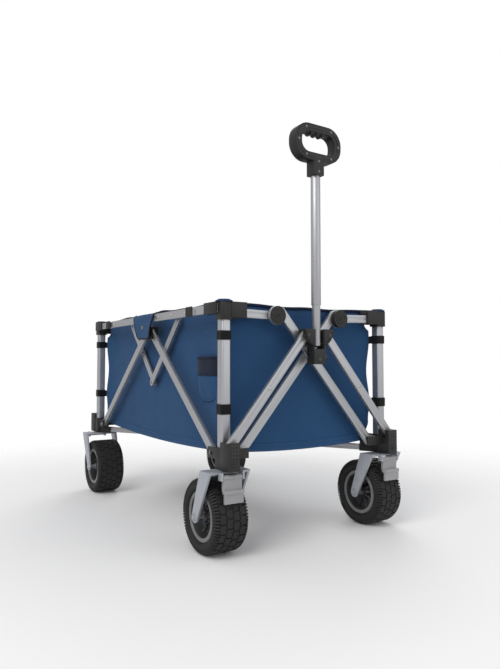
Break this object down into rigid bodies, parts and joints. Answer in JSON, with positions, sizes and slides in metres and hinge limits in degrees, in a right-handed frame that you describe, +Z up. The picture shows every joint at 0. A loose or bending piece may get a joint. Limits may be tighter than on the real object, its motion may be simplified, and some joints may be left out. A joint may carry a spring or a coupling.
{
  "type": "folding wagon with pull handle",
  "caption": "Folding fabric wagon on a scissor-linkage aluminium frame, with wide wheels, front casters and a telescoping pull handle.",
  "frame": {"origin": "on the ground under the middle of the wagon", "axes": "+X forward to the pull handle, +Y to the left, +Z up"},
  "size_m": [1, 0.619, 1.065],
  "materials": {
    "aluminium": "satin",
    "tyre": "matte",
    "fork_paint": "satin",
    "pedal_plastic": "matte",
    "fabric": "woven",
    "rim_plastic": "satin",
    "black_plastic": "matte"
  },
  "bodies": {
    "post_fr": {"post_fr": "aluminium", "top_bracket_fr": "black_plastic", "lower_block_fr": "black_plastic", "tub": "fabric"},
    "post_fl": {"post_fl": "aluminium", "top_bracket_fl": "black_plastic", "lower_block_fl": "black_plastic"},
    "post_rr": {"post_rr": "aluminium", "top_bracket_rr": "black_plastic", "lower_block_rr": "black_plastic", "fork_rr": "fork_paint"},
    "post_rl": {"post_rl": "aluminium", "top_bracket_rl": "black_plastic", "lower_block_rl": "black_plastic", "fork_rl": "fork_paint"},
    "outer_bar_r": {"outer_bar_r": "aluminium"},
    "outer_bar_l": {"outer_bar_l": "aluminium"},
    "front_hub": {"front_hub": "black_plastic"},
    "side_hub_r": {"side_hub_r": "black_plastic"},
    "side_hub_l": {"side_hub_l": "black_plastic"},
    "base_hub": {"base_hub": "black_plastic"},
    "cross_bar_front_a": {"cross_bar_front_a": "aluminium"},
    "cross_bar_front_b": {"cross_bar_front_b": "aluminium"},
    "cross_bar_rear_a": {"cross_bar_rear_a": "aluminium"},
    "cross_bar_rear_b": {"cross_bar_rear_b": "aluminium"},
    "top_link_front_r": {"top_link_front_r": "aluminium"},
    "top_link_front_l": {"top_link_front_l": "aluminium"},
    "top_link_rear_r": {"top_link_rear_r": "aluminium"},
    "top_link_rear_l": {"top_link_rear_l": "aluminium"},
    "long_bar_fr": {"long_bar_fr": "aluminium"},
    "short_bar_fr": {"short_bar_fr": "aluminium"},
    "top_rail_fr": {"top_rail_fr": "aluminium"},
    "base_bar_fr": {"base_bar_fr": "aluminium"},
    "wheel_fr": {"rim_fr": "rim_plastic", "tyre_fr": "tyre"},
    "long_bar_fl": {"long_bar_fl": "aluminium"},
    "short_bar_fl": {"short_bar_fl": "aluminium"},
    "top_rail_fl": {"top_rail_fl": "aluminium"},
    "base_bar_fl": {"base_bar_fl": "aluminium"},
    "wheel_fl": {"rim_fl": "rim_plastic", "tyre_fl": "tyre"},
    "long_bar_rr": {"long_bar_rr": "aluminium"},
    "short_bar_rr": {"short_bar_rr": "aluminium"},
    "top_rail_rr": {"top_rail_rr": "aluminium"},
    "base_bar_rr": {"base_bar_rr": "aluminium"},
    "wheel_rr": {"rim_rr": "rim_plastic", "tyre_rr": "tyre"},
    "long_bar_rl": {"long_bar_rl": "aluminium"},
    "short_bar_rl": {"short_bar_rl": "aluminium"},
    "top_rail_rl": {"top_rail_rl": "aluminium"},
    "base_bar_rl": {"base_bar_rl": "aluminium"},
    "wheel_rl": {"rim_rl": "rim_plastic", "tyre_rl": "tyre"},
    "fork_fr": {"fork_fr": "fork_paint"},
    "brake_pedal_fr": {"brake_pedal_fr": "pedal_plastic"},
    "fork_fl": {"fork_fl": "fork_paint"},
    "brake_pedal_fl": {"brake_pedal_fl": "pedal_plastic"},
    "handle_lower": {"handle_inner_tube": "aluminium"},
    "handle_upper": {"handle_outer_tube": "aluminium", "grip": "black_plastic"}
  },
  "joints": [
    {"name": "fold", "type": "hinge", "parent": "post_fr", "child": "outer_bar_r", "pos_m": [0.481, -0.255, 0.258], "axis": [1, 0, 0], "range_deg": [0, 28.3], "deforming": ["tub"]},
    {"name": "front_hub_level", "type": "hinge", "parent": "outer_bar_r", "child": "front_hub", "pos_m": [0.481, -0.035, 0.522], "axis": [1, 0, 0], "range_deg": [-28.65, 0]},
    {"name": "outer_bar_l_turn", "type": "hinge", "parent": "front_hub", "child": "outer_bar_l", "pos_m": [0.481, 0.035, 0.522], "axis": [1, 0, 0], "range_deg": [-28.65, 0]},
    {"name": "post_fl_level", "type": "hinge", "parent": "outer_bar_l", "child": "post_fl", "pos_m": [0.481, 0.255, 0.258], "axis": [1, 0, 0], "range_deg": [0, 28.65]},
    {"name": "cross_front_a_turn", "type": "hinge", "parent": "post_fr", "child": "cross_bar_front_a", "pos_m": [0.444, -0.205, 0.237], "axis": [1, 0, 0], "range_deg": [0, 31.26]},
    {"name": "cross_front_b_turn", "type": "hinge", "parent": "post_fl", "child": "cross_bar_front_b", "pos_m": [0.456, 0.205, 0.237], "axis": [1, 0, 0], "range_deg": [-31.26, 0]},
    {"name": "cross_rear_a_turn", "type": "hinge", "parent": "post_rr", "child": "cross_bar_rear_a", "pos_m": [-0.444, -0.205, 0.237], "axis": [1, 0, 0], "range_deg": [0, 31.26]},
    {"name": "cross_rear_b_turn", "type": "hinge", "parent": "post_rl", "child": "cross_bar_rear_b", "pos_m": [-0.456, 0.205, 0.237], "axis": [1, 0, 0], "range_deg": [-31.26, 0]},
    {"name": "link_front_r_turn", "type": "hinge", "parent": "post_fr", "child": "top_link_front_r", "pos_m": [0.444, -0.215, 0.574], "axis": [1, 0, 0], "range_deg": [0, 79.15]},
    {"name": "link_front_l_turn", "type": "hinge", "parent": "post_fl", "child": "top_link_front_l", "pos_m": [0.456, 0.215, 0.574], "axis": [1, 0, 0], "range_deg": [-79.15, 0]},
    {"name": "link_rear_r_turn", "type": "hinge", "parent": "post_rr", "child": "top_link_rear_r", "pos_m": [-0.444, -0.215, 0.574], "axis": [1, 0, 0], "range_deg": [0, 79.15]},
    {"name": "link_rear_l_turn", "type": "hinge", "parent": "post_rl", "child": "top_link_rear_l", "pos_m": [-0.456, 0.215, 0.574], "axis": [1, 0, 0], "range_deg": [-79.15, 0]},
    {"name": "long_fr_turn", "type": "hinge", "parent": "post_fr", "child": "long_bar_fr", "pos_m": [0.402, -0.2515, 0.236], "axis": [0, 1, 0], "range_deg": [0, 39.66]},
    {"name": "side_hub_r_level", "type": "hinge", "parent": "long_bar_fr", "child": "side_hub_r", "pos_m": [0.02, -0.2515, 0.542], "axis": [0, 1, 0], "range_deg": [-39.66, 0]},
    {"name": "long_rr_turn", "type": "hinge", "parent": "side_hub_r", "child": "long_bar_rr", "pos_m": [-0.02, -0.2515, 0.542], "axis": [0, 1, 0], "range_deg": [-39.66, 0]},
    {"name": "post_rr_level", "type": "hinge", "parent": "long_bar_rr", "child": "post_rr", "pos_m": [-0.402, -0.2515, 0.236], "axis": [0, 1, 0], "range_deg": [0, 39.66]},
    {"name": "short_fr_turn", "type": "hinge", "parent": "long_bar_fr", "child": "short_bar_fr", "pos_m": [0.09133, -0.2515, 0.48486], "axis": [0, 1, 0], "range_deg": [-67.19, 0]},
    {"name": "short_rr_turn", "type": "hinge", "parent": "long_bar_rr", "child": "short_bar_rr", "pos_m": [-0.09133, -0.2515, 0.48486], "axis": [0, 1, 0], "range_deg": [0, 67.19]},
    {"name": "rail_fr_turn", "type": "hinge", "parent": "post_fr", "child": "top_rail_fr", "pos_m": [0.31, -0.2515, 0.583], "axis": [0, 1, 0], "range_deg": [0, 108.35]},
    {"name": "rail_rr_turn", "type": "hinge", "parent": "post_rr", "child": "top_rail_rr", "pos_m": [-0.31, -0.2515, 0.583], "axis": [0, 1, 0], "range_deg": [-108.35, 0]},
    {"name": "long_fl_turn", "type": "hinge", "parent": "post_fl", "child": "long_bar_fl", "pos_m": [0.402, 0.2515, 0.236], "axis": [0, 1, 0], "range_deg": [0, 39.66]},
    {"name": "side_hub_l_level", "type": "hinge", "parent": "long_bar_fl", "child": "side_hub_l", "pos_m": [0.02, 0.2515, 0.542], "axis": [0, 1, 0], "range_deg": [-39.66, 0]},
    {"name": "long_rl_turn", "type": "hinge", "parent": "side_hub_l", "child": "long_bar_rl", "pos_m": [-0.02, 0.2515, 0.542], "axis": [0, 1, 0], "range_deg": [-39.66, 0]},
    {"name": "post_rl_level", "type": "hinge", "parent": "long_bar_rl", "child": "post_rl", "pos_m": [-0.402, 0.2515, 0.236], "axis": [0, 1, 0], "range_deg": [0, 39.66]},
    {"name": "short_fl_turn", "type": "hinge", "parent": "long_bar_fl", "child": "short_bar_fl", "pos_m": [0.09133, 0.2515, 0.48486], "axis": [0, 1, 0], "range_deg": [-67.19, 0]},
    {"name": "short_rl_turn", "type": "hinge", "parent": "long_bar_rl", "child": "short_bar_rl", "pos_m": [-0.09133, 0.2515, 0.48486], "axis": [0, 1, 0], "range_deg": [0, 67.19]},
    {"name": "rail_fl_turn", "type": "hinge", "parent": "post_fl", "child": "top_rail_fl", "pos_m": [0.31, 0.2515, 0.583], "axis": [0, 1, 0], "range_deg": [0, 108.35]},
    {"name": "rail_rl_turn", "type": "hinge", "parent": "post_rl", "child": "top_rail_rl", "pos_m": [-0.31, 0.2515, 0.583], "axis": [0, 1, 0], "range_deg": [-108.35, 0]},
    {"name": "base_fr_turn", "type": "hinge", "parent": "post_fr", "child": "base_bar_fr", "pos_m": [0.40963, -0.22996, 0.214], "axis": [0.4895, 0.872, 0], "range_deg": [0, 80.36]},
    {"name": "base_hub_level", "type": "hinge", "parent": "base_bar_fr", "child": "base_hub", "pos_m": [0.07673, -0.04308, 0.214], "axis": [0.4895, 0.872, 0], "range_deg": [-80.36, 0]},
    {"name": "base_fl_turn", "type": "hinge", "parent": "post_fl", "child": "base_bar_fl", "pos_m": [0.40963, 0.22996, 0.214], "axis": [-0.4895, 0.872, 0], "range_deg": [0, 80.36]},
    {"name": "base_rr_turn", "type": "hinge", "parent": "post_rr", "child": "base_bar_rr", "pos_m": [-0.40963, -0.22996, 0.214], "axis": [0.4895, -0.872, 0], "range_deg": [0, 80.36]},
    {"name": "base_rl_turn", "type": "hinge", "parent": "post_rl", "child": "base_bar_rl", "pos_m": [-0.40963, 0.22996, 0.214], "axis": [-0.4895, -0.872, 0], "range_deg": [0, 80.36]},
    {"name": "caster_fr", "type": "hinge", "parent": "post_fr", "child": "fork_fr", "pos_m": [0.448, -0.2515, 0.15], "axis": [0, 0, 1], "continuous": true},
    {"name": "brake_fr", "type": "hinge", "parent": "fork_fr", "child": "brake_pedal_fr", "pos_m": [0.486, -0.2515, 0.19], "axis": [0, -1, 0], "range_deg": [0, 20]},
    {"name": "caster_fl", "type": "hinge", "parent": "post_fl", "child": "fork_fl", "pos_m": [0.448, 0.2515, 0.15], "axis": [0, 0, 1], "continuous": true},
    {"name": "brake_fl", "type": "hinge", "parent": "fork_fl", "child": "brake_pedal_fl", "pos_m": [0.486, 0.2515, 0.19], "axis": [0, -1, 0], "range_deg": [0, 20]},
    {"name": "wheel_fr_spin", "type": "hinge", "parent": "fork_fr", "child": "wheel_fr", "pos_m": [0.405, -0.2515, 0.089], "axis": [0, 1, 0], "continuous": true},
    {"name": "wheel_fl_spin", "type": "hinge", "parent": "fork_fl", "child": "wheel_fl", "pos_m": [0.405, 0.2515, 0.089], "axis": [0, 1, 0], "continuous": true},
    {"name": "wheel_rr_spin", "type": "hinge", "parent": "post_rr", "child": "wheel_rr", "pos_m": [-0.405, -0.2515, 0.089], "axis": [0, 1, 0], "continuous": true},
    {"name": "wheel_rl_spin", "type": "hinge", "parent": "post_rl", "child": "wheel_rl", "pos_m": [-0.405, 0.2515, 0.089], "axis": [0, 1, 0], "continuous": true},
    {"name": "handle_tilt", "type": "hinge", "parent": "front_hub", "child": "handle_lower", "pos_m": [0.484, 0, 0.503], "axis": [0, 1, 0], "range_deg": [0, 80]},
    {"name": "handle_slide", "type": "slide", "parent": "handle_lower", "child": "handle_upper", "axis": [0, 0, 1], "range_m": [0, 0.25]}
  ],
  "couplings": [
    {"joint": "front_hub_level", "follows": "fold", "ratio": -1},
    {"joint": "outer_bar_l_turn", "follows": "fold", "ratio": -1},
    {"joint": "post_fl_level", "follows": "fold", "ratio": 1},
    {"joint": "cross_front_a_turn", "follows": "fold", "ratio": 1.092},
    {"joint": "cross_front_b_turn", "follows": "fold", "ratio": -1.092},
    {"joint": "cross_rear_a_turn", "follows": "fold", "ratio": 1.092},
    {"joint": "cross_rear_b_turn", "follows": "fold", "ratio": -1.092},
    {"joint": "link_front_r_turn", "follows": "fold", "ratio": 2.7844},
    {"joint": "link_front_l_turn", "follows": "fold", "ratio": -2.7844},
    {"joint": "link_rear_r_turn", "follows": "fold", "ratio": 2.7844},
    {"joint": "link_rear_l_turn", "follows": "fold", "ratio": -2.7844},
    {"joint": "long_fr_turn", "follows": "fold", "ratio": 1.3888},
    {"joint": "side_hub_r_level", "follows": "fold", "ratio": -1.3888},
    {"joint": "long_rr_turn", "follows": "fold", "ratio": -1.3888},
    {"joint": "post_rr_level", "follows": "fold", "ratio": 1.3888},
    {"joint": "short_fr_turn", "follows": "fold", "ratio": -2.3615},
    {"joint": "short_rr_turn", "follows": "fold", "ratio": 2.3615},
    {"joint": "rail_fr_turn", "follows": "fold", "ratio": 3.8163},
    {"joint": "rail_rr_turn", "follows": "fold", "ratio": -3.8163},
    {"joint": "long_fl_turn", "follows": "fold", "ratio": 1.3888},
    {"joint": "side_hub_l_level", "follows": "fold", "ratio": -1.3888},
    {"joint": "long_rl_turn", "follows": "fold", "ratio": -1.3888},
    {"joint": "post_rl_level", "follows": "fold", "ratio": 1.3888},
    {"joint": "short_fl_turn", "follows": "fold", "ratio": -2.3615},
    {"joint": "short_rl_turn", "follows": "fold", "ratio": 2.3615},
    {"joint": "rail_fl_turn", "follows": "fold", "ratio": 3.8163},
    {"joint": "rail_rl_turn", "follows": "fold", "ratio": -3.8163},
    {"joint": "base_fr_turn", "follows": "fold", "ratio": 2.8269},
    {"joint": "base_hub_level", "follows": "fold", "ratio": -2.8269},
    {"joint": "base_fl_turn", "follows": "fold", "ratio": 2.8269},
    {"joint": "base_rr_turn", "follows": "fold", "ratio": 2.8269},
    {"joint": "base_rl_turn", "follows": "fold", "ratio": 2.8269}
  ]
}
